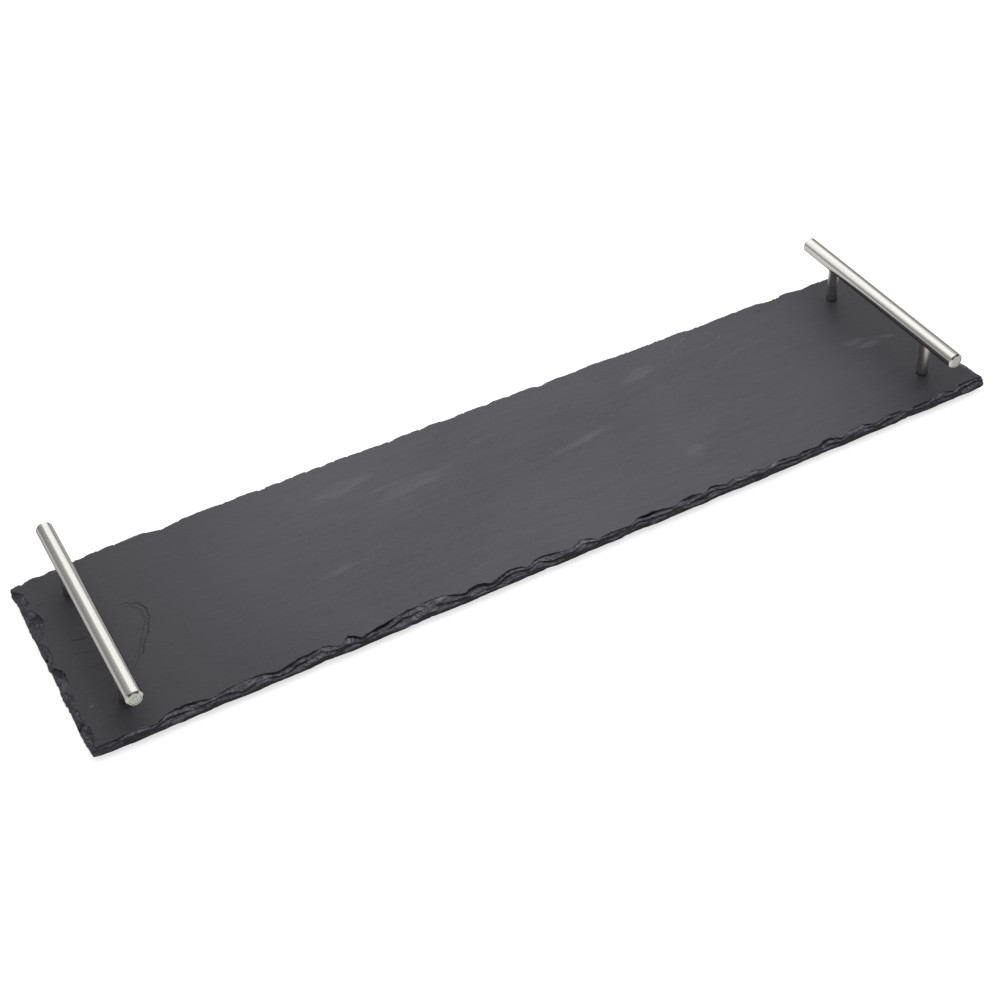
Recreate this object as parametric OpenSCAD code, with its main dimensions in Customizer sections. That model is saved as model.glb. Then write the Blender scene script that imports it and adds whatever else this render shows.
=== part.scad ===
// Slate serving board with a bar handle standing across each end.
// Units are millimetres. The board lies along X, the front edge faces -Y,
// and the feet stand on Z = 0 with the origin under the middle of the board.

/* [Slate] */
// Length of the slate
slate_length = 600; // [450:5:700]
// Width of the slate
slate_width = 150; // [125:5:200]
// Thickness of the slate
slate_thick = 6; // [5:0.5:9]
// Narrowest slope between the top edge and the outline
rim_slope = 0.9; // [0.6:0.1:3]
// Deepest flake struck off the front edge
front_bite = 6.5; // [2:0.5:9]
// Deepest flake struck off the right end
right_bite = 4; // [1:0.5:8]
// Deepest flake struck off the back edge
back_bite = 2; // [0.5:0.1:5]
// Deepest flake struck off the left end
left_bite = 9; // [2:0.5:11]
// Usual width of one flake
flake_width = 25; // [12:1:40]
// How far the back edge runs in towards the right end
back_skew = 5; // [0:0.5:6]
// How far the back left corner is broken in from the back
corner_run = 4.5; // [0:0.5:6]
// Depth of the layers that have lifted off the top face
layer_depth = 0.5; // [0.3:0.1:1]
// Pattern of the flakes
flake_pattern = 11; // [1:1:60]

/* [Handles] */
// Diameter of each bar
bar_diameter = 10; // [8:0.5:14]
// Length of each bar
bar_length = 154; // [120:2:180]
// Wall of the hollow bar
bar_wall = 1.5; // [1:0.1:2.5]
// Bevel turned on each end of a bar
bar_bevel = 1; // [0.5:0.1:1.4]
// Height of the middle of the bar above the slate
bar_lift = 27.5; // [20:0.5:45]
// Distance from the end of the slate to the middle of the bar
bar_inset = 30; // [20:1:60]
// Distance between the posts of one handle
post_spacing = 96; // [64:1:110]
// Diameter of each post
post_diameter = 7; // [6:0.5:9]
// Diameter of the turned tip that enters the bar
post_tip_diameter = 5; // [3:0.1:5.5]

/* [Fixings] */
// Outer diameter of the soft ring under each post
ring_diameter = 7.6; // [7:0.1:12]
// Thickness of the soft ring
ring_thick = 0.5; // [0.3:0.1:2]
// Thread diameter of the machine screws
screw_diameter = 4; // [3:0.5:5]
// Length of the screws under the head
screw_length = 16; // [12:1:20]
// Diameter of the domed screw heads
screw_head_diameter = 8; // [7:0.5:10]
// Height of the domed screw heads
screw_head_height = 2.2; // [1.5:0.1:2.6]
// Diameter of the steel washers
washer_diameter = 9; // [8:0.5:12]
// Thickness of the steel washers
washer_thick = 0.8; // [0.5:0.1:1]
// Clear hole for each screw in the slate
slate_hole_diameter = 5; // [4.5:0.5:7]

/* [Feet] */
// Diameter of each rubber foot where it is stuck on
foot_diameter = 14; // [10:1:20]
// Height of the rubber feet
foot_height = 4; // [4:0.5:8]
// Distance from the end of the slate to the middle of a foot
foot_end_inset = 55; // [45:1:90]
// Distance from the side of the slate to the middle of a foot
foot_side_inset = 24; // [20:1:35]

/* [Hidden] */
fit_gap = 0.02;
screw_gap = 0.15;
cut_over = 1;
half_length = slate_length / 2;
half_width = slate_width / 2;
slate_bottom = foot_height;
slate_top = slate_bottom + slate_thick;
bar_radius = bar_diameter / 2;
bar_bore_radius = bar_radius - bar_wall;
bar_height = slate_top + bar_lift;
bar_x = half_length - bar_inset;
post_y = post_spacing / 2;
post_base = slate_top + ring_thick;
post_bevel = 0.3;
post_tip_reach = 1.5;
post_hole_diameter = screw_diameter + 2 * screw_gap;
post_hole_depth = screw_length - washer_thick - slate_thick - ring_thick + cut_over;
screw_seat = slate_bottom - washer_thick;
washer_hole_diameter = screw_diameter + 2 * screw_gap;
ring_hole_diameter = screw_diameter + 2 * screw_gap;
cap_thick = 3;
cap_sink = 0.2;
cap_bevel = 0.25;
cap_ring_radius = 1.6;
cap_ring_width = 0.25;
cap_ring_depth = 0.15;
screw_tip_bevel = 0.4;
cross_width = 0.9;
cross_span = 4.2;
cross_depth = 1.3;
foot_bottom_diameter = foot_diameter * 0.8;
foot_round = 0.8;

// The rim of the slate is set out as a row of stations along each side.
long_steps = 190;
short_steps = 54;
rim_steps = 2 * (long_steps + short_steps);
wave_lengths = [67, 29, 13, 7.5];
flake_roundness = 0.75;
corner_wear = 0.7;
corner_reach = 5;
corner_run_reach = 60;
scarp_run = 0.4;
least_room = 0.4;
outline_wander = 0.8;
under_chip = 0.8;
rough = 0.3;

// The broken slope climbs in two treads: how far in each wall and tread goes, as shares of the slope.
wall_run_share = 0.08;
tread_share = 0.42;
tread_wander_share = 0.26;

// Heights of the slope's edges as shares of the thickness.
outline_share = 0.14;
lower_tread_share = 0.38;
upper_tread_share = 0.68;
tread_rise_share = 0.03;
deep_drop_share = 0.16;
height_wander_share = 0.07;

// Large flakes set out by hand along each side, starting from the front left corner and going round.
// Each row is the place along the side, the widths before and after it as shares of the usual flake,
// and the depth as a share of that side's deepest flake.
large_flake_shares = [
    [
        [0.028, 0.68, 0.68, 0.18], [0.082, 0.56, 0.84, 0.75], [0.150, 0.92, 0.72, 0.72],
        [0.223, 1.20, 0.40, 0.75], [0.253, 0.24, 0.20, 0.90], [0.343, 1.92, 0.72, 1.00],
        [0.387, 0.36, 0.36, 0.62], [0.430, 0.64, 0.32, 0.68], [0.457, 0.32, 0.88, 0.72],
        [0.507, 0.36, 0.32, 0.75], [0.537, 0.40, 0.48, 0.22], [0.585, 0.64, 0.56, 0.62],
        [0.633, 0.60, 0.36, 0.62], [0.658, 0.20, 0.32, 0.65], [0.685, 0.32, 0.32, 0.44],
        [0.707, 0.28, 0.28, 0.48], [0.735, 0.32, 0.64, 0.42], [0.772, 0.24, 0.36, 0.32],
        [0.802, 0.36, 0.28, 0.54], [0.842, 0.56, 0.40, 0.57], [0.883, 0.52, 0.40, 0.42],
        [0.930, 0.64, 0.32, 0.20], [0.950, 0.24, 0.24, 0.48], [0.980, 0.40, 0.56, 0.54],
    ],
    [
        [0.10, 0.50, 0.60, 0.70], [0.30, 0.80, 0.50, 0.85], [0.52, 0.60, 0.90, 0.70],
        [0.74, 0.50, 0.40, 1.00], [0.93, 0.50, 0.40, 0.60],
    ],
    [
        [0.067, 0.30, 0.40, 0.90], [0.108, 0.40, 0.40, 0.80], [0.208, 0.60, 0.60, 0.60],
        [0.317, 0.50, 0.50, 0.50], [0.400, 0.30, 0.40, 0.70], [0.590, 0.40, 0.50, 0.45],
        [0.842, 0.50, 0.50, 1.00], [0.875, 0.40, 0.40, 0.50], [0.960, 0.50, 0.40, 0.80],
    ],
    [
        [0.100, 0.60, 0.40, 0.50], [0.240, 0.60, 0.80, 0.85], [0.447, 0.50, 0.40, 0.40],
        [0.587, 0.40, 0.50, 0.60], [0.720, 0.30, 0.40, 0.44], [0.807, 0.40, 0.40, 0.36],
        [0.900, 0.50, 0.60, 0.50],
    ],
];

// Small flakes fall between the large ones by chance, as shares of the usual flake.
flake_width_shares = [0.1, 0.5];
flake_depth_shares = [0.1, 0.5];
flakes_per_width_share = 2.2;

// Each lifted layer on the top face: its middle and half sizes as shares of the slate,
// and its depth as a share of the usual one. The floor rises towards the left end.
layer_shares = [
    [-0.4367, -0.025, 0.040, 0.185, 1],
    [0.2800, 0.380, 0.032, 0.075, 0.5],
];
layer_steps = 48;
layer_ripple_share = 0.07;
layer_rise_share = 0.75;

// Slow and quick waves added together give a hand-broken wander between -1 and 1.
function wander(s, seed) =
    let (parts = [for (i = [0:len(wave_lengths) - 1])
        sin(360 * s / wave_lengths[i] + 97 * seed * (i + 1)) / (i + 1)])
    (parts * [for (p = parts) 1]) / 2;

// The large flakes of one side, from shares to lengths.
function large_flakes(k) =
    [for (f = large_flake_shares[k])
        [side_spans[k] * f[0], flake_width * f[1], flake_width * f[2], side_bites[k] * f[3]]];

// Small flakes along one side: deepest place of each, width before and after it, and depth.
function small_flakes(span, bite, seed) =
    let (
        count = ceil(flakes_per_width_share * span / flake_width),
        place = rands(0, 1, count, seed),
        wide = rands(flake_width_shares[0], flake_width_shares[1], count, seed + 1),
        deep = rands(flake_depth_shares[0], flake_depth_shares[1], count, seed + 2)
    )
    [for (i = [0:count - 1])
        let (w = flake_width * wide[i])
        [span * (i + place[i]) / count, w, w, bite * deep[i] * deep[i]]];

// Depth of the deepest flake at distance s, each one cut like a shallow shell.
function bite_at(s, list) =
    max([for (f = list)
        let (u = (s - f[0]) / (s < f[0] ? f[1] : f[2]))
        abs(u) < 1 ? f[3] * pow(1 - u * u, flake_roundness) : 0]);

side_spans = [slate_length, slate_width, slate_length, slate_width];
side_bites = [front_bite, right_bite, back_bite, left_bite];
side_steps = [long_steps, short_steps, long_steps, short_steps];
upper_flakes = [for (k = [0:3])
    concat(large_flakes(k), small_flakes(side_spans[k], side_bites[k], flake_pattern + 10 * k))];

function corner_worn(s, span) =
    let (d = min(s, span - s))
    d < corner_reach ? corner_wear * pow(1 - d / corner_reach, 2) : 0;

// The back edge runs in towards its broken left corner.
function corner_broken(k, s) =
    let (d = slate_length - s)
    k == 2 && d < corner_run_reach ? corner_run * pow(1 - d / corner_run_reach, 1.5) : 0;

// How far in from the sides each edge of the rim lies, from the underside up.
function rim_insets(k, s) =
    let (
        outline = corner_worn(s, side_spans[k]) + corner_broken(k, s)
            + max(0, outline_wander * wander(s, k + 1)),
        top = outline + rim_slope + scarp_run + bite_at(s, upper_flakes[k])
            + rough * wander(3 * s, k + 7),
        foot = max(outline + least_room, top - scarp_run),
        room = foot - outline,
        tread = outline + room * (tread_share + tread_wander_share * wander(s, k + 20))
    )
    [
        outline + under_chip * (1 + wander(2 * s, k + 4) / 2),
        outline,
        outline + room * wall_run_share,
        tread,
        tread + room * wall_run_share,
        foot,
        max(top, foot + least_room / 2),
    ];

// Height of each edge of the rim above the underside.
function rim_heights(k, s) =
    let (
        deep = bite_at(s, upper_flakes[k]) / side_bites[k],
        drift = height_wander_share * wander(2 * s, k + 12),
        lower = lower_tread_share + drift,
        upper = upper_tread_share - drift - deep_drop_share * deep
    )
    slate_thick * [0, outline_share - drift, lower - tread_rise_share, lower + tread_rise_share,
        upper - tread_rise_share, upper + tread_rise_share, 1];

last_ring = 6;

// Corner of one ring, in from the two sides that meet there.
function ring_corner(k, ring) =
    let (
        before = rim_insets((k + 3) % 4, side_spans[(k + 3) % 4])[ring],
        after = rim_insets(k, 0)[ring],
        sx = (k == 0 || k == 3) ? -1 : 1,
        sy = (k < 2) ? -1 : 1,
        in_x = (k % 2 == 0) ? before : after,
        in_y = (k % 2 == 0) ? after : before
    )
    [sx * (half_length - in_x), sy * (half_width - in_y)];

function skewed(p) =
    let (t = (p[0] + half_length) / slate_length)
    [p[0], p[1] - (p[1] > 0 ? back_skew * t * t * p[1] / half_width : 0)];

// One station of one ring: slide along the side between its corners and step inwards.
function ring_point(k, i, ring) =
    let (
        t = i / side_steps[k],
        s = t * side_spans[k],
        a = ring_corner(k, ring),
        b = ring_corner((k + 1) % 4, ring),
        inset = rim_insets(k, s)[ring],
        x = k == 1 ? half_length - inset : k == 3 ? inset - half_length : a[0] + t * (b[0] - a[0]),
        y = k == 0 ? inset - half_width : k == 2 ? half_width - inset : a[1] + t * (b[1] - a[1]),
        q = i == 0 ? a : [x, y],
        w = skewed(q)
    )
    [w[0], w[1], slate_bottom + rim_heights(k, s)[ring]];

rim_stations = [for (k = [0:3]) for (i = [0:side_steps[k] - 1]) [k, i]];

// The faces close along a spine down the middle, one point for each station on a long side.
spine_half = half_length - half_width;
function spine_x(j) = max(-spine_half, min(spine_half, (j / long_steps - 1 / 2) * slate_length));
spine_first = ceil(long_steps * half_width / slate_length);
spine_last = long_steps - spine_first;
spine_count = spine_last - spine_first + 1;

// Which spine point a station of the rim looks at.
function spine_index(n) =
    let (k = rim_stations[n][0], i = rim_stations[n][1])
    k == 0 ? max(spine_first, min(spine_last, i)) - spine_first
    : k == 1 ? spine_count - 1
    : k == 2 ? max(spine_first, min(spine_last, long_steps - i)) - spine_first
    : 0;

module slate_body() {
    ring_points = [for (r = [0:last_ring]) for (n = [0:rim_steps - 1])
        ring_point(rim_stations[n][0], rim_stations[n][1], r)];
    under_spine = [for (j = [0:spine_count - 1]) [spine_x(j + spine_first), 0, slate_bottom]];
    top_spine = [for (j = [0:spine_count - 1]) [spine_x(j + spine_first), 0, slate_top]];
    under_start = len(ring_points);
    top_start = under_start + spine_count;
    wall_faces = [for (r = [0:last_ring - 1]) for (n = [0:rim_steps - 1])
        let (
            a = r * rim_steps + n,
            b = r * rim_steps + (n + 1) % rim_steps,
            c = a + rim_steps,
            d = b + rim_steps
        )
        each ((n + r) % 2 == 0 ? [[a, c, d], [a, d, b]] : [[a, c, b], [b, c, d]])];
    under_faces = [for (n = [0:rim_steps - 1])
        let (m = (n + 1) % rim_steps, p = under_start + spine_index(n), q = under_start + spine_index(m))
        each (p == q ? [[n, m, p]] : [[n, m, q], [n, q, p]])];
    top_faces = [for (n = [0:rim_steps - 1])
        let (
            m = (n + 1) % rim_steps,
            p = top_start + spine_index(n),
            q = top_start + spine_index(m),
            a = last_ring * rim_steps + n,
            b = last_ring * rim_steps + m
        )
        each (p == q ? [[b, a, p]] : [[b, a, q], [a, p, q]])];
    polyhedron(
        points = concat(ring_points, under_spine, top_spine),
        faces = concat(wall_faces, under_faces, top_faces),
        convexity = 10
    );
}

// A thin layer that has lifted away: a low step on its right, nearly gone on its left.
module lifted_layer(index) {
    share = layer_shares[index];
    deep = layer_depth * share[4];
    rise = layer_rise_share * deep;
    lean = atan(rise / (2 * slate_length * share[2]));
    outline = [for (i = [0:layer_steps - 1])
        let (a = 360 * i / layer_steps, r = 1 + layer_ripple_share * wander(a, index + 3))
        [slate_length * share[2] * r * cos(a), slate_width * share[3] * r * sin(a)]];
    translate([slate_length * share[0], slate_width * share[1], slate_top - deep + rise / 2])
        rotate([0, lean, 0])
            linear_extrude(deep + cut_over)
                polygon(outline);
}

module slate_slab() {
    color([0.3, 0.3, 0.33])
        difference() {
            slate_body();
            for (i = [0:len(layer_shares) - 1])
                lifted_layer(i);
            for (x = [-bar_x, bar_x])
                for (y = [-post_y, post_y])
                    translate([x, y, slate_bottom - cut_over])
                        cylinder(d = slate_hole_diameter, h = slate_thick + 2 * cut_over, $fn = 48);
        }
}

// A hollow bar with bevelled ends and a hole underneath for the tip of each post.
module bar(side) {
    color([0.86, 0.85, 0.82])
        translate([side * bar_x, 0, bar_height])
            difference() {
                rotate([90, 0, 0])
                    rotate_extrude($fn = 96)
                        polygon([
                            [bar_bore_radius, -bar_length / 2],
                            [bar_radius - bar_bevel, -bar_length / 2],
                            [bar_radius, bar_bevel - bar_length / 2],
                            [bar_radius, bar_length / 2 - bar_bevel],
                            [bar_radius - bar_bevel, bar_length / 2],
                            [bar_bore_radius, bar_length / 2],
                        ]);
                for (y = [-post_y, post_y])
                    translate([0, y, -bar_radius - cut_over])
                        cylinder(d = post_tip_diameter + 2 * fit_gap, h = bar_radius + cut_over, $fn = 48);
            }
}

// A plug pressed into the open end of the bar, with one fine turned ring on its face.
module end_cap(side, way) {
    face_radius = bar_bore_radius - fit_gap;
    color([0.8, 0.79, 0.76])
        translate([side * bar_x, way * (bar_length / 2 - cap_sink), bar_height])
            rotate([way * 90, 0, 0])
                rotate_extrude($fn = 96)
                    polygon([
                        [0, 0],
                        [cap_ring_radius, 0],
                        [cap_ring_radius, cap_ring_depth],
                        [cap_ring_radius + cap_ring_width, cap_ring_depth],
                        [cap_ring_radius + cap_ring_width, 0],
                        [face_radius - cap_bevel, 0],
                        [face_radius, cap_bevel],
                        [face_radius, cap_thick],
                        [0, cap_thick],
                    ]);
}

// A turned post, hollowed at the top to sit on the bar and bored at the foot for its screw.
module post(side, way) {
    shaft_top = bar_height - post_base;
    tip_top = shaft_top - bar_bore_radius + post_tip_reach;
    tip_bottom = shaft_top - bar_radius - 2 * bar_wall;
    color([0.82, 0.81, 0.78])
        translate([side * bar_x, way * post_y, post_base])
            difference() {
                union() {
                    difference() {
                        rotate_extrude($fn = 64)
                            polygon([
                                [0, 0],
                                [post_diameter / 2 - post_bevel, 0],
                                [post_diameter / 2, post_bevel],
                                [post_diameter / 2, shaft_top],
                                [0, shaft_top],
                            ]);
                        translate([0, post_diameter, shaft_top])
                            rotate([90, 0, 0])
                                cylinder(r = bar_radius + fit_gap, h = 2 * post_diameter, $fn = 96);
                    }
                    translate([0, 0, tip_bottom])
                        cylinder(d = post_tip_diameter, h = tip_top - tip_bottom, $fn = 48);
                }
                translate([0, 0, -cut_over])
                    cylinder(d = post_hole_diameter, h = post_hole_depth + cut_over, $fn = 48);
            }
}

// A soft ring that keeps the steel post off the stone.
module post_ring(side, way) {
    color([0.05, 0.05, 0.05])
        translate([side * bar_x, way * post_y, slate_top])
            difference() {
                cylinder(d = ring_diameter, h = ring_thick, $fn = 64);
                translate([0, 0, -cut_over])
                    cylinder(d = ring_hole_diameter, h = ring_thick + 2 * cut_over, $fn = 48);
            }
}

// A machine screw from below, with a domed cross-slot head.
module screw(side, way) {
    head_steps = 8;
    thread_radius = screw_diameter / 2;
    dome = [for (i = [0:head_steps])
        let (a = 90 * i / head_steps)
        [screw_head_diameter / 2 * sin(a), -screw_head_height * cos(a)]];
    color([0.6, 0.6, 0.62])
        translate([side * bar_x, way * post_y, screw_seat])
            difference() {
                rotate_extrude($fn = 48)
                    polygon(concat(dome, [
                        [thread_radius, 0],
                        [thread_radius, screw_length - screw_tip_bevel],
                        [thread_radius - screw_tip_bevel, screw_length],
                        [0, screw_length],
                    ]));
                for (turn = [0, 90])
                    rotate([0, 0, turn])
                        translate([-cross_span / 2, -cross_width / 2, -screw_head_height - cut_over])
                            cube([cross_span, cross_width, cross_depth + cut_over]);
            }
}

// A flat steel washer between the screw head and the underside of the slate.
module washer(side, way) {
    color([0.65, 0.65, 0.66])
        translate([side * bar_x, way * post_y, slate_bottom - washer_thick])
            difference() {
                cylinder(d = washer_diameter, h = washer_thick, $fn = 64);
                translate([0, 0, -cut_over])
                    cylinder(d = washer_hole_diameter, h = washer_thick + 2 * cut_over, $fn = 48);
            }
}

// A stuck-on rubber foot, narrower where it meets the table.
module foot(side, way) {
    round_steps = 4;
    bottom_radius = foot_bottom_diameter / 2;
    edge = [for (i = [0:round_steps])
        let (a = 90 * i / round_steps)
        [bottom_radius - foot_round + foot_round * sin(a), foot_round - foot_round * cos(a)]];
    color([0.08, 0.08, 0.08])
        translate([side * (half_length - foot_end_inset), way * (half_width - foot_side_inset), 0])
            rotate_extrude($fn = 64)
                polygon(concat([[0, 0]], edge, [[foot_diameter / 2, foot_height], [0, foot_height]]));
}

module left_bar() { bar(-1); }
module right_bar() { bar(1); }
module left_front_end_cap() { end_cap(-1, -1); }
module left_back_end_cap() { end_cap(-1, 1); }
module right_front_end_cap() { end_cap(1, -1); }
module right_back_end_cap() { end_cap(1, 1); }
module left_front_post() { post(-1, -1); }
module left_back_post() { post(-1, 1); }
module right_front_post() { post(1, -1); }
module right_back_post() { post(1, 1); }
module left_front_post_ring() { post_ring(-1, -1); }
module left_back_post_ring() { post_ring(-1, 1); }
module right_front_post_ring() { post_ring(1, -1); }
module right_back_post_ring() { post_ring(1, 1); }
module left_front_screw() { screw(-1, -1); }
module left_back_screw() { screw(-1, 1); }
module right_front_screw() { screw(1, -1); }
module right_back_screw() { screw(1, 1); }
module left_front_washer() { washer(-1, -1); }
module left_back_washer() { washer(-1, 1); }
module right_front_washer() { washer(1, -1); }
module right_back_washer() { washer(1, 1); }
module left_front_foot() { foot(-1, -1); }
module left_back_foot() { foot(-1, 1); }
module right_front_foot() { foot(1, -1); }
module right_back_foot() { foot(1, 1); }

slate_slab();
left_bar();
right_bar();
left_front_end_cap();
left_back_end_cap();
right_front_end_cap();
right_back_end_cap();
left_front_post();
left_back_post();
right_front_post();
right_back_post();
left_front_post_ring();
left_back_post_ring();
right_front_post_ring();
right_back_post_ring();
left_front_screw();
left_back_screw();
right_front_screw();
right_back_screw();
left_front_washer();
left_back_washer();
right_front_washer();
right_back_washer();
left_front_foot();
left_back_foot();
right_front_foot();
right_back_foot();
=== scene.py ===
"""Looks of the slate serving board: broken slate, brushed steel handles and a pale studio."""

import math

import bmesh
import bpy
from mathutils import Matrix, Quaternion, Vector, noise


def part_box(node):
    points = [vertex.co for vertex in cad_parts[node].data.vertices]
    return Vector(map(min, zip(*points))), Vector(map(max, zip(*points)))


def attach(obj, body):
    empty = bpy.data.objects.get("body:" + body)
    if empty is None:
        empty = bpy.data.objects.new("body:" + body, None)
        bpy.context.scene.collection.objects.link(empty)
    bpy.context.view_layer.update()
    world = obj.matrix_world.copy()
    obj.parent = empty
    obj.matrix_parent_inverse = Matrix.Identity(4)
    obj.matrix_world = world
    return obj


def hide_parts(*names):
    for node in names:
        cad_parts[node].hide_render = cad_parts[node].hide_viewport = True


MM = 0.001

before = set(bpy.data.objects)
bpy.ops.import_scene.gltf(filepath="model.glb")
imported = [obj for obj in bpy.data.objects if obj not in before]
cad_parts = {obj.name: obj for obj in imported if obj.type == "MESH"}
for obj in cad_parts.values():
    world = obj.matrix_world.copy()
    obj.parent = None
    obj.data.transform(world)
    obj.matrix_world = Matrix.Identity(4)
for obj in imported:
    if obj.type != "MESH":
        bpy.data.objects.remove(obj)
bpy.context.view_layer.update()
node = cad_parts

# Sizes of the slate, in metres, read back from its solid.

SLAB_LOW, SLAB_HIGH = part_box("slate_slab")
TOP = SLAB_HIGH.z
UNDER = SLAB_LOW.z
THICK = TOP - UNDER
HALF_LONG = SLAB_HIGH.x
HALF_WIDE = SLAB_HIGH.y

# Marks on the top face, in millimetres from its middle.

# Each pale stroke has a start, an end and a width.
PALE_STROKES = [
    ((-122, 45), (-78, 50), 5.0), ((-92, 33), (-48, 36), 4.0), ((-82, 22), (-22, 28), 5.0),
    ((98, 43), (142, 53), 6.0), ((-30, 40), (12, 44), 3.0), ((150, 30), (215, 36), 5.0),
    ((-30, -48), (30, -46), 1.2), ((-90, -58), (-30, -57), 1.2), ((250, -4), (264, -10), 5.0),
    ((266, -1), (282, -8), 4.5), ((20, 5), (80, 12), 8.0), ((-150, -20), (-95, -14), 6.0),
]

# Each pale spot has a middle, its half sizes and its turn in degrees.
PALE_SPOTS = [
    ((105, -36), (9, 10), 20), ((106, -41), (4, 3), 0), ((-288, -43), (3, 1.4), 10),
    ((-57, -50), (1.0, 0.8), 0), ((12, -56), (0.9, 0.9), 0), ((63, 40), (1.0, 0.7), 0),
    ((257, -3), (15, 7), -25), ((-98, 47), (30, 7), 8), ((-55, 28), (34, 7), 8),
    ((118, 48), (24, 6), 12),
]

# The faint outline of a layer that has begun to lift, near the back right.
LAYER_EDGE = [
    (145, 52), (148, 58), (155, 62), (165, 64.5), (174, 62), (181, 58), (184.5, 54), (178, 49.5),
    (165, 49), (154, 50), (145, 52),
]
LAYER_LINE_WIDTH = 1.3

# Each crack has a start, an end and a width; it is drawn as painted shade on the flat face, with no gap in
# the mesh. Its soft stroke is drawn wider than it looks.
CRACKS = [
    ((-287, 10), (-270, 8.3), 0.9), ((-300, 46), (-289, 44), 1.1), ((-294, 46.5), (-282, 46.8), 1.0),
    ((-295, 54), (-291.5, 50), 1.4), ((-296, 60), (-292, 61), 1.4), ((-291, 66), (-288, 64), 1.2),
    ((-300, -31), (-293, -31.5), 1.3), ((-299, -60), (-297, -67), 1.1),
    ((-297, -67), (-291, -68.5), 1.1), ((146, 70), (149, 70), 2.0), ((218, 62), (222, 62), 1.6),
    ((-286, -2), (-272, -4), 0.7), ((-284, -14), (-268, -17), 0.7), ((-280, -52), (-262, -56), 0.7),
]
CRACK_SOFTNESS = 1.9

# Painted shade: both ends of the top face are darkened outside this oval between them, standing in for the
# sheen that falls off towards the ends.
SHADE_FREE_MIDDLE = (19, 0)
SHADE_FREE_REACH = (330, 330)

# Colours of the stone, and of the shade painted on it.

DARK_SHEET = (0.0375, 0.0355, 0.0435, 1)
LIGHT_SHEET = (0.0590, 0.0565, 0.0670, 1)
PALE_GRAIN = (0.062, 0.060, 0.070, 1)
PALE_SPECK = (0.16, 0.15, 0.15, 1)
# Painted shade that darkens both ends of the top face.
PAINTED_END_SHADE = (0.0080, 0.0075, 0.0095, 1)
SCUFF = (0.095, 0.092, 0.103, 1)
LAYER_LINE = (0.105, 0.102, 0.115, 1)
# Painted shade in the cracks and along the beds of the rim.
CRACK_SHADE = (0.004, 0.004, 0.005, 1)
# Painted shade for faces that are steep or tilted.
STEEP_SHADE = (0.006, 0.0057, 0.007, 1)
DARK_TREAD = (0.046, 0.044, 0.053, 1)
DUSTY_TREAD = (0.160, 0.155, 0.176, 1)
# Painted shade for the rim at the left end.
LEFT_END_SHADE = (0.030, 0.0285, 0.0345, 1)

# Beds of the slate: how thick one is, and by how many beds the lines wander up and down.

BED = 0.62 * MM
BED_WANDER = 5.0

# Colours of the metals and the rubber.

BAR_TINT = (0.50, 0.49, 0.465, 1)
CAP_TINT = (0.40, 0.41, 0.38, 1)
POST_TINT = (0.50, 0.48, 0.46, 1)
ZINC_TINT = (0.62, 0.62, 0.64, 1)
RUBBER_BLACK = (0.012, 0.012, 0.012, 1)
RUBBER_DUST = (0.03, 0.03, 0.03, 1)

# Cutting the slate's mesh finer. A point within FACE_KEPT of the top or the underside lies on
# it, and the rim reaches RIM_BAND in from the sides of the slate's box.

SAME_POINT = 0.001 * MM
ON_PLANE = 0.0001 * MM
FACE_KEPT = 0.02 * MM
GRID_STEP = 5 * MM
RIM_BAND = 16 * MM
RIM_EDGES = (4 * MM, 2.4 * MM, 1.5 * MM, 0.95 * MM)
SHARP_EDGE = math.radians(22)

# Two corners are drawn out: side along the length, place across, half width and pull.

DRAWN_CORNERS = ((-1, 68 * MM, 10 * MM, 3.2 * MM), (1, -74 * MM, 13 * MM, 2.6 * MM))
CORNER_START = 282 * MM
CORNER_LENGTH = 12 * MM

# Chips of the rim. Each kind has a length, a depth, a height and a seed.

LARGE_CHIP = (6 * MM, 2.4 * MM, 1.4 * MM, 1)
LARGE_CHIP_PUSH = 0.32 * MM
SMALL_CHIP = (2.2 * MM, 1.3 * MM, 0.9 * MM, 2)
SMALL_CHIP_PUSH = 0.22 * MM
LARGE_FACET = (5 * MM, 1.8 * MM, 4 * MM, 3)
LARGE_FACET_LIFT = 0.24 * MM
SMALL_FACET = (1.9 * MM, 1.0 * MM, 3 * MM, 4)
SMALL_FACET_LIFT = 0.12 * MM
NOTCH = (7 * MM, 6 * MM, 9 * MM, 5)
NOTCH_PUSH = 1.6 * MM
LARGE_BITE = (5 * MM, 3 * MM, 9 * MM, 8)
LARGE_BITE_PUSH = 0.9 * MM
SMALL_BITE = (1.8 * MM, 1.5 * MM, 9 * MM, 9)
SMALL_BITE_PUSH = 0.45 * MM
BITE_SHARE = 0.4
LEAST_AREA_SHARE = 0.2

# How a chip's face leans across its cell, and how far apart the noise is read for two cells,
# two rows of chips or two seeds.

LEAN_SLOPE = 1.6
LEAN_OFFSET = 0.8
CELL_STEP = 3.17
ROW_STEP = 7.7
SEED_STEP = (17.3, -9.1, 4.7)

# The leans are drawn from this seed, so that each run breaks the slate alike.

LEAN_SEED = 1

# The beds end at different depths, in broad bays and small ones. The left end is rougher.

BED_PUSH = 0.55 * MM
BED_TILT = 0.9
BED_TILT_SIZE = 45 * MM
BED_SPACING = 17 * MM
BED_PATTERNS = 7
BROAD_BAY = 9 * MM
SMALL_BAY = 3 * MM
SMALL_BAY_SHARE = 0.5
LEFT_END = -284 * MM
LEFT_END_ROUGHNESS = 1.6

# Above this share of the thickness the wall is lifted to a shelf, and below it is ragged.

SHELF_SHARE = 0.3
SHELF_FADE = 0.2
SHELF_LIFT = 0.85
SHELF_MIDDLE = 0.6
SHELF_SWING = 1.7
SHELF_PATCH = 12 * MM
LOWER_RAG = 0.35 * MM
LOWER_RAG_SIZE = 2.5 * MM
RIM_KEPT = 0.05 * MM

# Lifted layers: the solid's two recesses, each as low x, high x, low y and high y in
# millimetres, and the line of the terrace that the left one is cut to, in millimetres.

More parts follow.
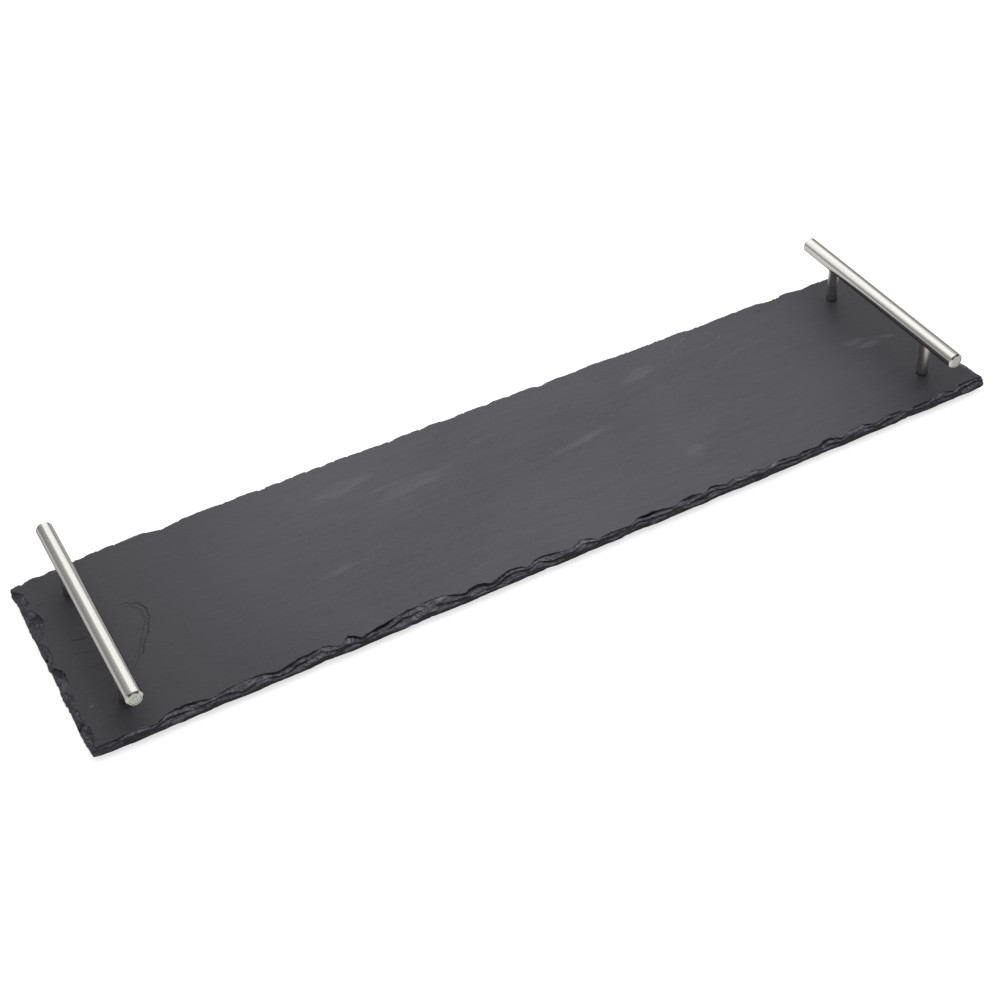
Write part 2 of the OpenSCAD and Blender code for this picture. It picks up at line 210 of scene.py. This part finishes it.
LAYER_BOXES = [(-290, -235, -36, 30), (144, 192, 44, 70)]
LAYER_DEPTH = 0.7 * MM
LAYER_MERGE = 0.02 * MM
TERRACE = [
    (-253, 22.5), (-246, 22.5), (-239, 19.5), (-236, 12), (-237.5, 3), (-241, -5), (-245, -12),
    (-250, -20), (-257, -27), (-262, -32),
]
TERRACE_RIGHT = -215 * MM
TERRACE_BAND = 5 * MM
TERRACE_EDGES = (2.6 * MM, 1.4 * MM, 0.8 * MM)
TERRACE_FADE_OUT = 5.0

# Each step of the terrace has a distance from its line and a depth. Each wave that makes
# them ragged has a height, a size and a seed.

TERRACE_STEPS = ((0.0, 0.48 * MM), (2.6 * MM, 0.36 * MM))
TERRACE_WAVES = ((1.2 * MM, 5 * MM, 6), (0.9 * MM, 1.6 * MM, 7))
STEP_WIDTH = 0.8 * MM
STEP_FADE = 3.5 * MM


# Node trees

class Tree:
    """Adds nodes to one material or world and links them."""

    def __init__(self, owner):
        owner.use_nodes = True
        self.nodes = owner.node_tree.nodes
        self.links = owner.node_tree.links
        self.nodes.clear()

    def add(self, kind, inputs=(), **settings):
        made = self.nodes.new("ShaderNode" + kind)
        for key, value in settings.items():
            setattr(made, key, value)
        for key, value in dict(inputs).items():
            self.set(made.inputs[key], value)
        return made

    def set(self, socket, value):
        if isinstance(value, bpy.types.NodeSocket):
            self.links.new(value, socket)
        elif isinstance(value, bpy.types.Node):
            self.links.new(value.outputs[0], socket)
        else:
            socket.default_value = value

    def finish(self, shader, output="OutputMaterial"):
        self.add(output, {"Surface": shader})

    def place(self, scale=(1, 1, 1), turn=(0, 0, 0)):
        """A place on the object, in metres, stretched and turned."""
        where = self.add("TexCoord").outputs["Object"]
        return self.add("Mapping", {"Vector": where, "Scale": scale, "Rotation": turn})

    def upward(self):
        """One on a face that looks up, zero on an upright one."""
        normal = self.add("NewGeometry").outputs["Normal"]
        return self.add("SeparateXYZ", {0: normal}).outputs["Z"]

    def noise(self, vector, scale, detail, roughness, distortion=0.0):
        """Cloudy noise. The scale is how many of its clouds fit in a metre of the vector."""
        inputs = {"Vector": vector, "Scale": scale, "Detail": detail,
                  "Roughness": roughness, "Distortion": distortion}
        return self.add("TexNoise", inputs)

    def between(self, value, low, high, to_low=0.0, to_high=1.0, smooth=False):
        """Takes a value from low to high to a value from to_low to to_high, and stops there."""
        inputs = {0: value, 1: low, 2: high, 3: to_low, 4: to_high}
        kind = "SMOOTHSTEP" if smooth else "LINEAR"
        return self.add("MapRange", inputs, interpolation_type=kind)

    def math(self, operation, a, b=0.0):
        return self.add("Math", {0: a, 1: b}, operation=operation)

    def average(self, a, b):
        return self.math("ADD", self.math("MULTIPLY", a, 0.5), self.math("MULTIPLY", b, 0.5))

    def strongest(self, values):
        made = values[0]
        for value in values[1:]:
            made = self.math("MAXIMUM", made, value)
        return made

    def mix(self, factor, a, b):
        made = self.add("Mix", data_type="RGBA")
        self.set(made.inputs["Factor"], factor)
        self.set(made.inputs["A"], a)
        self.set(made.inputs["B"], b)
        return made.outputs["Result"]

    def ramp(self, value, stops):
        """A row of colours, each at its own value."""
        made = self.add("ValToRGB", {0: value})
        elements = made.color_ramp.elements
        for level, colour in stops[1:-1]:
            elements.new(level)
        for element, (level, colour) in zip(elements, stops):
            element.position = level
            element.color = colour
        return made

    def shift(self, vector, noisy, amount):
        """Moves a place about by a colour noise, up to half the amount each way."""
        centred = self.add("VectorMath", {0: noisy, 1: (0.5, 0.5, 0.5)}, operation="SUBTRACT")
        scaled = self.add("VectorMath", {0: centred, "Scale": amount}, operation="SCALE")
        return self.add("VectorMath", {0: vector, 1: scaled}, operation="ADD")

    def spot(self, vector, middle, half, turn=0.0, inner=0.4):
        """One inside an oval on the top face, fading to zero at its edge. Sizes in millimetres."""
        inputs = {"Vector": vector, "Location": (middle[0] * MM, middle[1] * MM, 0),
                  "Rotation": (0, 0, math.radians(turn)), "Scale": (half[0] * MM, half[1] * MM, 1)}
        placed = self.add("Mapping", inputs, vector_type="TEXTURE")
        reach = self.add("VectorMath", {0: placed}, operation="LENGTH").outputs["Value"]
        return self.between(reach, inner, 1.0, 1.0, 0.0, smooth=True)

    def stroke(self, vector, start, end, width):
        """A soft line on the top face from start to end. Sizes in millimetres."""
        dx, dy = end[0] - start[0], end[1] - start[1]
        middle = ((start[0] + end[0]) / 2, (start[1] + end[1]) / 2)
        half = (math.hypot(dx, dy) / 2, width / 2)
        return self.spot(vector, middle, half, math.degrees(math.atan2(dy, dx)), inner=0.3)

    def bump(self, height, distance, strength, under=None):
        inputs = {"Height": height, "Distance": distance, "Strength": strength}
        if under is not None:
            inputs["Normal"] = under
        return self.add("Bump", inputs)


# Materials

def stone_grain(t, flat):
    return t.noise(flat, 420, 6, 0.7)


def sheet_colour_and_end_shade(t, flat, streak, grain):
    """Cloudy dark stone with pale grain and specks, and painted shade that darkens both ends."""
    cloud = t.noise(flat, 7, 3, 0.5)
    speck = t.noise(flat, 850, 2, 0.5)
    face = t.mix(t.between(t.average(cloud, streak), 0.38, 0.62), DARK_SHEET, LIGHT_SHEET)
    face = t.mix(t.between(grain, 0.44, 0.64, 0.0, 0.45), face, PALE_GRAIN)
    face = t.mix(t.between(speck, 0.745, 0.80, 0.0, 0.6), face, PALE_SPECK)
    # Painted shade: outside the middle oval the top face is darkened, as if its sheen fell off towards the
    # ends.
    middle = t.spot(flat, SHADE_FREE_MIDDLE, SHADE_FREE_REACH, inner=0.35)
    return t.mix(t.between(middle, 0.0, 1.0, 0.70, 0.0), face, PAINTED_END_SHADE)


def pale_marks(t, drawn, streak):
    """Scuffs and smudges, broken up by the streaks of the stone."""
    strokes = [t.stroke(drawn, start, end, width) for start, end, width in PALE_STROKES]
    spots = [t.spot(drawn, middle, half, turn) for middle, half, turn in PALE_SPOTS]
    return t.math("MULTIPLY", t.strongest(strokes + spots), t.between(streak, 0.36, 0.62, 0.05, 0.5))


def layer_outline(t, drawn, wobble):
    """The pale line round the layer that has begun to lift, broken in places."""
    sides = zip(LAYER_EDGE, LAYER_EDGE[1:])
    line = t.strongest([t.stroke(drawn, start, end, LAYER_LINE_WIDTH) for start, end in sides])
    return t.math("MULTIPLY", line, t.between(wobble, 0.35, 0.6, 0.15, 0.7))


def crack_shade(t, drawn, wobble):
    """Painted shade of short cracks, mostly at the left end."""
    line = t.strongest([t.stroke(drawn, start, end, CRACK_SOFTNESS * width)
                        for start, end, width in CRACKS])
    return t.math("MULTIPLY", line, t.between(wobble, 0.30, 0.55, 0.45, 1.0))


def cleft_slate():
    """The split top and bottom faces."""
    made = bpy.data.materials.new("cleft slate")
    t = Tree(made)
    flat = t.place()
    along = t.place((1, 6, 1), (0, 0, 0.3))
    streak = t.noise(along, 38, 5, 0.62, 0.3)
    grain = stone_grain(t, flat)
    wobble = t.noise(flat, 110, 3, 0.6)
    drawn = t.shift(flat, wobble.outputs["Color"], 5 * MM)

    face = sheet_colour_and_end_shade(t, flat, streak, grain)
    face = t.mix(pale_marks(t, drawn, streak), face, SCUFF)
    face = t.mix(layer_outline(t, drawn, wobble), face, LAYER_LINE)
    # Painted shade in the cracks of the top face.
    face = t.mix(crack_shade(t, drawn, wobble), face, CRACK_SHADE)
    # Painted shade: faces of the top that tilt, such as the terrace's steps, are darkened.
    face = t.mix(t.between(t.upward(), 0.90, 0.995, 0.8, 0.0), face, STEEP_SHADE)

    low = t.bump(t.noise(along, 55, 4, 0.55), 0.6 * MM, 0.30)
    mid = t.bump(t.noise(flat, 240, 5, 0.6), 0.3 * MM, 0.45, low)
    t.finish(t.add("BsdfPrincipled", {
        "Base Color": face, "Roughness": t.between(t.average(streak, grain), 0.35, 0.65, 0.44, 0.56),
        "Normal": t.bump(grain, 0.12 * MM, 0.6, mid), "IOR": 1.5, "Specular IOR Level": 0.3}))
    return made


def broken_edge():
    """The knapped rim: dusty treads, painted shade on its steep walls and painted shade along the fine lines
    of its beds.
    """
    made = bpy.data.materials.new("broken slate edge")
    t = Tree(made)
    flat = t.place()
    where = t.add("SeparateXYZ", {0: flat})
    length = where.outputs["X"]
    chip_tone = t.noise(t.place((1, 1, 9)), 210, 5, 0.62)
    wander = t.math("MULTIPLY", t.noise(flat, 75, 3, 0.6), BED_WANDER)
    beds = t.math("ADD", t.math("MULTIPLY", where.outputs["Z"], 1 / BED), wander)
    bed_edge = t.math("FRACT", beds)

    chip = t.mix(t.between(chip_tone, 0.36, 0.62), DARK_TREAD, DUSTY_TREAD)
    # Painted shade: the rim at the left end is darkened and its chips lose contrast, to match the painted
    # shade of the top face there.
    chip = t.mix(t.between(length, -291 * MM, -282 * MM, 0.55, 0.0), chip, LEFT_END_SHADE)
    # Painted shade: a thin dark line along the edge of each bed, where the shadow under its step would fall.
    line = t.math("MULTIPLY", t.between(bed_edge, 0.0, 0.40, 1.0, 0.0), t.between(chip_tone, 0.40, 0.52))
    chip = t.mix(t.math("MULTIPLY", line, 0.92), chip, CRACK_SHADE)
    # Painted shade: the steeper a face of the rim, the darker it is painted; less so at the left end.
    steep_shade_mask = t.between(t.upward(), 0.35, 0.80, 1.0, 0.0, smooth=True)
    steep_shade_share = t.between(length, -291 * MM, -280 * MM, 0.34, 0.82)
    chip = t.mix(t.math("MULTIPLY", steep_shade_mask, steep_shade_share), chip, STEEP_SHADE)

    mid = t.bump(t.noise(flat, 240, 5, 0.6), 0.3 * MM, 0.5)
    ledges = t.bump(bed_edge, 0.5 * MM, 1.0, mid)
    t.finish(t.add("BsdfPrincipled", {
        "Base Color": chip, "Roughness": 0.8, "Normal": t.bump(stone_grain(t, flat), 0.12 * MM, 0.6, ledges),
        "IOR": 1.5, "Specular IOR Level": 0.2}))
    return made


def steel_material(name, quick_axes, tint, roughness, lines=1.0):
    """Brushed steel: its fine lines change quickly along the named axes, slowly along the others."""
    made = bpy.data.materials.new(name)
    t = Tree(made)
    quick, slow = 2600.0, 9.0
    scale = tuple(quick if axis in quick_axes else slow for axis in "xyz")
    brushed = t.noise(t.place(scale), 1, 2, 0.5)
    worn = t.noise(t.place(), 60, 3, 0.5)
    deep = tuple(0.80 * c for c in tint[:3]) + (1,)
    rough = t.math("ADD", t.between(brushed, 0.3, 0.7, -0.03 * lines, 0.04 * lines),
                   t.between(worn, 0.3, 0.7, roughness - 0.01, roughness + 0.02))
    t.finish(t.add("BsdfPrincipled", {
        "Base Color": t.mix(t.between(brushed, 0.3, 0.7), deep, tint), "Metallic": 1.0,
        "Roughness": rough, "Normal": t.bump(brushed, 0.01 * MM, 0.25 * lines),
        "Specular Tint": (0.35, 0.35, 0.35, 1)}))
    return made


def rubber_material():
    made = bpy.data.materials.new("black rubber")
    t = Tree(made)
    dust = t.noise(t.place(), 700, 4, 0.6)
    t.finish(t.add("BsdfPrincipled", {
        "Base Color": t.mix(t.between(dust, 0.4, 0.7), RUBBER_BLACK, RUBBER_DUST),
        "Roughness": t.between(dust, 0.3, 0.7, 0.6, 0.8), "Normal": t.bump(dust, 0.1 * MM, 0.4)}))
    return made


def paint(obj, material):
    obj.data.materials.clear()
    obj.data.materials.append(material)


# The broken slate

def clamp(value, low=0.0, high=1.0):
    return max(low, min(high, value))


def edge_distance(p):
    return min(HALF_LONG - abs(p.x), HALF_WIDE - abs(p.y))


def level_place(p):
    return Vector((p.x, p.y, 0))


def smooth_noise(p, size, seed):
    """Noise from about -1 to 1 with waves of this size."""
    return noise.noise(Vector([c / size + step * seed for c, step in zip(p, SEED_STEP)]))


def on_top(v):
    return v.co.z > TOP - FACE_KEPT


def on_underside(v):
    return v.co.z < UNDER + FACE_KEPT


def triangulate(bm):
    bmesh.ops.triangulate(bm, faces=[f for f in bm.faces if len(f.verts) > 3])


def fill_plain_layers(bm):
    """Closes the two shallow recesses; the rough step of the left one is cut anew below."""
    closed = []
    for v in bm.verts:
        p = v.co
        if p.z < TOP - LAYER_DEPTH:
            continue
        for low_x, high_x, low_y, high_y in LAYER_BOXES:
            if low_x * MM < p.x < high_x * MM and low_y * MM < p.y < high_y * MM:
                v.co.z = TOP
                closed.append(v)
                break
    bmesh.ops.remove_doubles(bm, verts=closed, dist=LAYER_MERGE)


def cut_grid(bm):
    """Cuts the large faces into squares, keeping clear of the rim that the lines run along."""
    for axis, half in ((0, HALF_LONG), (1, HALF_WIDE)):
        count = int((half - RIM_BAND) / GRID_STEP)
        for i in range(-count, count + 1):
            point, normal = Vector(), Vector()
            point[axis] = i * GRID_STEP
            normal[axis] = 1.0
            parts = bm.verts[:] + bm.edges[:] + bm.faces[:]
            bmesh.ops.bisect_plane(bm, geom=parts, dist=ON_PLANE, plane_co=point, plane_no=normal)


def draw_out_corners(bm):
    """Two corners end in points that reach a little further than the solid's."""
    for side, corner_y, half_width, pull in DRAWN_CORNERS:
        for v in bm.verts:
            p = v.co
            near = max(0.0, 1.0 - abs(p.y - corner_y) / half_width)
            reach = clamp((side * p.x - CORNER_START) / CORNER_LENGTH)
            if near * reach > 0:
                v.co.x = side * min(HALF_LONG, side * p.x + pull * near * near * reach)


def on_rim(e, limit):
    """Whether an edge of the mesh borders the broken wall and is longer than the limit."""
    a, b = e.verts
    if on_underside(a) and on_underside(b):
        return False
    if max(edge_distance(a.co), edge_distance(b.co)) > RIM_BAND or e.calc_length() < limit:
        return False
    return any(not all(on_top(v) for v in f.verts) for f in e.link_faces)


def refine_rim(bm):
    """Halves the edges of the broken wall until they are as short as its chips need."""
    for limit in RIM_EDGES:
        triangulate(bm)
        bmesh.ops.subdivide_edges(bm, edges=[e for e in bm.edges if on_rim(e, limit)], cuts=1)
    triangulate(bm)


def inward(p):
    """Unit direction from the nearest side of the slate towards its middle."""
    gap_x, gap_y = HALF_LONG - abs(p.x), HALF_WIDE - abs(p.y)
    if gap_x < gap_y:
        return Vector((-math.copysign(1.0, p.x), 0, 0))
    return Vector((0, -math.copysign(1.0, p.y), 0))


def chip_lean(p, long, deep, tall, seed):
    """Each small chip of stone is a cell with a face that leans its own way, from -1 to 1."""
    along, across = (p.x, p.y) if inward(p).x == 0 else (p.y, p.x)
    q = Vector((along / long + ROW_STEP * seed, across / deep, p.z / tall))
    cell = noise.voronoi(q)[1][0]
    lean = noise.noise_vector(cell * CELL_STEP)
    return clamp((q - cell).dot(lean) * LEAN_SLOPE + LEAN_OFFSET * lean.z, low=-1.0)


def bed_step(p):
    """The beds of the slate end at different depths, the same all through one bed."""
    level = math.floor((p.z - UNDER) / BED + BED_TILT * smooth_noise(p, BED_TILT_SIZE, 2))
    sheet = Vector((p.x, p.y, level * BED_SPACING))
    broad = max(0.0, smooth_noise(sheet, BROAD_BAY, level % BED_PATTERNS))
    return broad + SMALL_BAY_SHARE * max(0.0, smooth_noise(sheet, SMALL_BAY, 3))


def top_area(face):
    a, b, c = (v.co for v in face.verts)
    return ((b - a).cross(c - a)).z / 2


def chip_arris(bm):
    """Makes the upper edge of the rim jagged, one point at a time, without folding the top face."""
    for v in bm.verts:
        if not on_top(v) or edge_distance(v.co) > RIM_BAND:
            continue
        flat = [f for f in v.link_faces if all(on_top(w) for w in f.verts)]
        if not flat or len(flat) == len(v.link_faces):
            continue
        before = [top_area(f) for f in flat]
        p = v.co.copy()
        step = LARGE_BITE_PUSH * (BITE_SHARE + chip_lean(p, *LARGE_BITE))
        step += SMALL_BITE_PUSH * (BITE_SHARE + chip_lean(p, *SMALL_BITE))
        v.co = p + inward(p) * max(0.0, step)
        if any(top_area(f) < LEAST_AREA_SHARE * old for f, old in zip(flat, before)):
            v.co = p


def wall_push(p):
    """How far beds and chips set a point of the broken wall back."""
    push = BED_PUSH * bed_step(p)
    push += LARGE_CHIP_PUSH * (1 + chip_lean(p, *LARGE_CHIP)) / 2
    push += SMALL_CHIP_PUSH * (1 + chip_lean(p, *SMALL_CHIP)) / 2
    if p.x < LEFT_END:
        notch = max(0.0, chip_lean(level_place(p), *NOTCH))
        push = LEFT_END_ROUGHNESS * push + NOTCH_PUSH * notch
    return push


def break_rim(bm):
    """Moves each point of the broken wall to where its bed and its chips end."""
    for v in bm.verts:
        p = v.co.copy()
        if on_top(v) or on_underside(v) or edge_distance(p) > RIM_BAND:
            continue
        push = wall_push(p)
        lift = LARGE_FACET_LIFT * chip_lean(p, *LARGE_FACET)
        lift += SMALL_FACET_LIFT * chip_lean(p, *SMALL_FACET)
        share = (p.z - UNDER) / THICK
        if share > SHELF_SHARE:
            patch = smooth_noise(level_place(p), SHELF_PATCH, 5)
            raised = SHELF_LIFT * clamp(SHELF_MIDDLE + SHELF_SWING * patch)
            lift += (TOP - p.z) * raised * min(1.0, (share - SHELF_SHARE) / SHELF_FADE)
        else:
            push += LOWER_RAG * max(0.0, smooth_noise(p, LOWER_RAG_SIZE, 4))
        moved = p + inward(p) * push
        v.co = Vector((moved.x, moved.y, clamp(p.z + lift, UNDER + RIM_KEPT, TOP - RIM_KEPT)))


def terrace_gap(p):
    """Distance from the terrace's line: above zero on its sunken side. Its ends fade out."""
    best, side, share = 1.0, 1.0, 0.0
    last = len(TERRACE) - 1
    for i in range(last):
        a = Vector((TERRACE[i][0] * MM, TERRACE[i][1] * MM))
        b = Vector((TERRACE[i + 1][0] * MM, TERRACE[i + 1][1] * MM))
        way = b - a
        q = Vector((p.x, p.y)) - a
        along = clamp(q.dot(way) / way.length_squared)
        gap = (q - along * way).length
        if gap < best:
            best = gap
            side = -1.0 if way.x * q.y - way.y * q.x > 0 else 1.0
            share = (i + along) / last
    return best * side, min(1.0, TERRACE_FADE_OUT * share, TERRACE_FADE_OUT * (1.0 - share))


def refine_terrace(bm):
    """Halves the edges near the terrace's line, for its narrow steps."""
    for limit in TERRACE_EDGES:
        long_ones = []
        for e in bm.edges:
            middle = (e.verts[0].co + e.verts[1].co) / 2
            if middle.z < TOP - MM or edge_distance(middle) < RIM_BAND or middle.x > TERRACE_RIGHT:
                continue
            if e.calc_length() > limit and abs(terrace_gap(middle)[0]) < TERRACE_BAND:
                long_ones.append(e)
        bmesh.ops.subdivide_edges(bm, edges=long_ones, cuts=1)
        triangulate(bm)


def cut_terrace(bm):
    """A sheet has lifted off at the left: two low ragged steps that rise again to their left."""
    for v in bm.verts:
        p = v.co
        if not on_top(v) or edge_distance(p) < RIM_BAND or p.x > TERRACE_RIGHT:
            continue
        gap, kept = terrace_gap(p)
        gap += sum(height * smooth_noise(p, size, seed) for height, size, seed in TERRACE_WAVES)
        depth = 0.0
        for start, deep in TERRACE_STEPS:
            if gap > start:
                step = min(1.0, (gap - start) / STEP_WIDTH)
                depth += deep * step * math.exp(-(gap - start) / STEP_FADE)
        v.co.z = TOP - depth * kept


def remove_fins(bm):
    """Two faces back to back on the same three points are a fin without thickness."""
    bm.verts.index_update()
    seen, fins = {}, []
    for f in bm.faces:
        corners = frozenset(v.index for v in f.verts)
        if corners in seen:
            fins += [f, seen[corners]]
        seen[corners] = f
    bmesh.ops.delete(bm, geom=fins, context="FACES_ONLY")
    bmesh.ops.delete(bm, geom=[e for e in bm.edges if e.is_wire], context="EDGES")
    bmesh.ops.delete(bm, geom=[v for v in bm.verts if not v.link_faces], context="VERTS")


def is_split_face(f):
    """Whether a face belongs to the smooth top or underside, and not to the broken rim."""
    if min(edge_distance(v.co) for v in f.verts) > RIM_BAND:
        return True
    return all(on_top(v) for v in f.verts) or all(on_underside(v) for v in f.verts)


def broken_slate():
    """The slate's solid, cut finer and broken along its rim. It takes the solid's place."""
    noise.seed_set(LEAN_SEED)
    mesh = node["slate_slab"].data.copy()
    mesh.name = "broken_slate"
    bm = bmesh.new()
    bm.from_mesh(mesh)
    bmesh.ops.remove_doubles(bm, verts=bm.verts[:], dist=SAME_POINT)
    fill_plain_layers(bm)
    cut_grid(bm)
    draw_out_corners(bm)
    refine_rim(bm)
    chip_arris(bm)
    break_rim(bm)
    refine_terrace(bm)
    cut_terrace(bm)
    remove_fins(bm)
    bmesh.ops.recalc_face_normals(bm, faces=bm.faces[:])
    split_faces = [is_split_face(f) for f in bm.faces]
    bm.to_mesh(mesh)
    bm.free()

    mesh.set_sharp_from_angle(angle=SHARP_EDGE)
    mesh.materials.clear()
    mesh.materials.append(cleft_slate())
    mesh.materials.append(broken_edge())
    for polygon, is_split in zip(mesh.polygons, split_faces):
        polygon.use_smooth = not is_split
        polygon.material_index = 0 if is_split else 1

    made = bpy.data.objects.new("broken_slate", mesh)
    bpy.context.scene.collection.objects.link(made)
    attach(made, "root")
    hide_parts("slate_slab")


def dress_handles():
    """Gives the bars, posts, caps, rings, fixings and feet their metal or rubber."""
    bar_steel = steel_material("brushed bar steel", "xz", BAR_TINT, 0.22)
    cap_steel = steel_material("turned cap steel", "xz", CAP_TINT, 0.24, 0.5)
    post_steel = steel_material("turned post steel", "z", POST_TINT, 0.34)
    zinc = steel_material("zinc plate", "z", ZINC_TINT, 0.34, 0.5)
    rubber = rubber_material()
    for side in ("left", "right"):
        paint(node[side + "_bar"], bar_steel)
        for end in ("front", "back"):
            here = side + "_" + end
            paint(node[here + "_end_cap"], cap_steel)
            paint(node[here + "_post"], post_steel)
            paint(node[here + "_post_ring"], rubber)
            paint(node[here + "_screw"], zinc)
            paint(node[here + "_washer"], zinc)
            paint(node[here + "_foot"], rubber)


# The studio, in metres

FLOOR_HALF = 30.0
FLOOR_WHITE = (0.5, 0.5, 0.5, 1)
FLOOR_GLOW = 0.7
SKY_STRENGTH = 1.3
BACK_SKY = (
    (0.30, (0.38, 0.38, 0.40, 1)),
    (0.80, (0.75, 0.75, 0.75, 1)),
)
FRONT_SKY = (
    (0.18, (0.74, 0.74, 0.74, 1)),
    (0.25, (0.04, 0.04, 0.04, 1)),
    (0.55, (0.04, 0.04, 0.04, 1)),
    (0.85, (0.7, 0.7, 0.7, 1)),
)
LENS = 64.7
SENSOR_WIDTH = 36.0
LOOKS_AT = Vector((-16.5, -7.0, 4.0)) * MM
CAMERA_DISTANCE = 1089.7 * MM
CAMERA_AZIMUTH = math.radians(-116.25)
CAMERA_ELEVATION = math.radians(41.88)
CAMERA_ROLL = math.radians(3.62)


def pale_floor():
    """A plain floor that glows a little, so that shadows on it stay faint."""
    bm = bmesh.new()
    bmesh.ops.create_grid(bm, x_segments=1, y_segments=1, size=FLOOR_HALF)
    mesh = bpy.data.meshes.new("floor")
    bm.to_mesh(mesh)
    bm.free()
    made = bpy.data.objects.new("floor", mesh)
    bpy.context.scene.collection.objects.link(made)
    material = bpy.data.materials.new("pale floor")
    t = Tree(material)
    t.finish(t.add("BsdfPrincipled", {
        "Base Color": FLOOR_WHITE, "Roughness": 0.9,
        "Emission Color": (1, 1, 1, 1), "Emission Strength": FLOOR_GLOW}))
    paint(made, material)


def studio_world():
    """In front, a dark band between a bright horizon and a bright top. Behind, grey to bright."""
    world = bpy.data.worlds.new("studio")
    t = Tree(world)
    way = t.add("SeparateXYZ", {0: t.add("TexCoord").outputs["Generated"]})
    behind = t.between(way.outputs["Y"], -0.3, 0.3)
    height = way.outputs["Z"]
    leaning = t.add("Math", {0: way.outputs["X"], 1: 0.25, 2: height}, operation="MULTIPLY_ADD")
    colour = t.mix(behind, t.ramp(height, FRONT_SKY), t.ramp(leaning, BACK_SKY))
    t.finish(t.add("Background", {"Color": colour, "Strength": SKY_STRENGTH}), "OutputWorld")
    bpy.context.scene.world = world


def softbox(name, place, target, width, height, power):
    lamp = bpy.data.lights.new(name, "AREA")
    lamp.shape = "RECTANGLE"
    lamp.size = width
    lamp.size_y = height
    lamp.energy = power
    made = bpy.data.objects.new(name, lamp)
    bpy.context.scene.collection.objects.link(made)
    made.location = place
    made.rotation_mode = "QUATERNION"
    made.rotation_quaternion = (Vector(target) - Vector(place)).to_track_quat("-Z", "Y")


def camera():
    level = math.cos(CAMERA_ELEVATION)
    back = Vector((level * math.cos(CAMERA_AZIMUTH), level * math.sin(CAMERA_AZIMUTH),
                   math.sin(CAMERA_ELEVATION)))
    data = bpy.data.cameras.new("camera")
    data.lens = LENS
    data.sensor_width = SENSOR_WIDTH
    data.clip_start = 0.05
    data.clip_end = 50.0
    made = bpy.data.objects.new("camera", data)
    bpy.context.scene.collection.objects.link(made)
    made.location = LOOKS_AT + back * CAMERA_DISTANCE
    made.rotation_mode = "QUATERNION"
    made.rotation_quaternion = (-back).to_track_quat("-Z", "Y") @ Quaternion((0, 0, 1), -CAMERA_ROLL)
    bpy.context.scene.camera = made


broken_slate()
dress_handles()
pale_floor()
studio_world()
softbox("overhead softbox", place=(0.0, -0.25, 1.9), target=(0, 0, 0), width=2.2, height=1.6, power=14)
softbox("back softbox", place=(0.18, 0.62, 0.76), target=(0.18, 0, 0.76), width=1.08, height=1.0, power=4.3)
camera()
bpy.context.scene.view_settings.view_transform = "Standard"
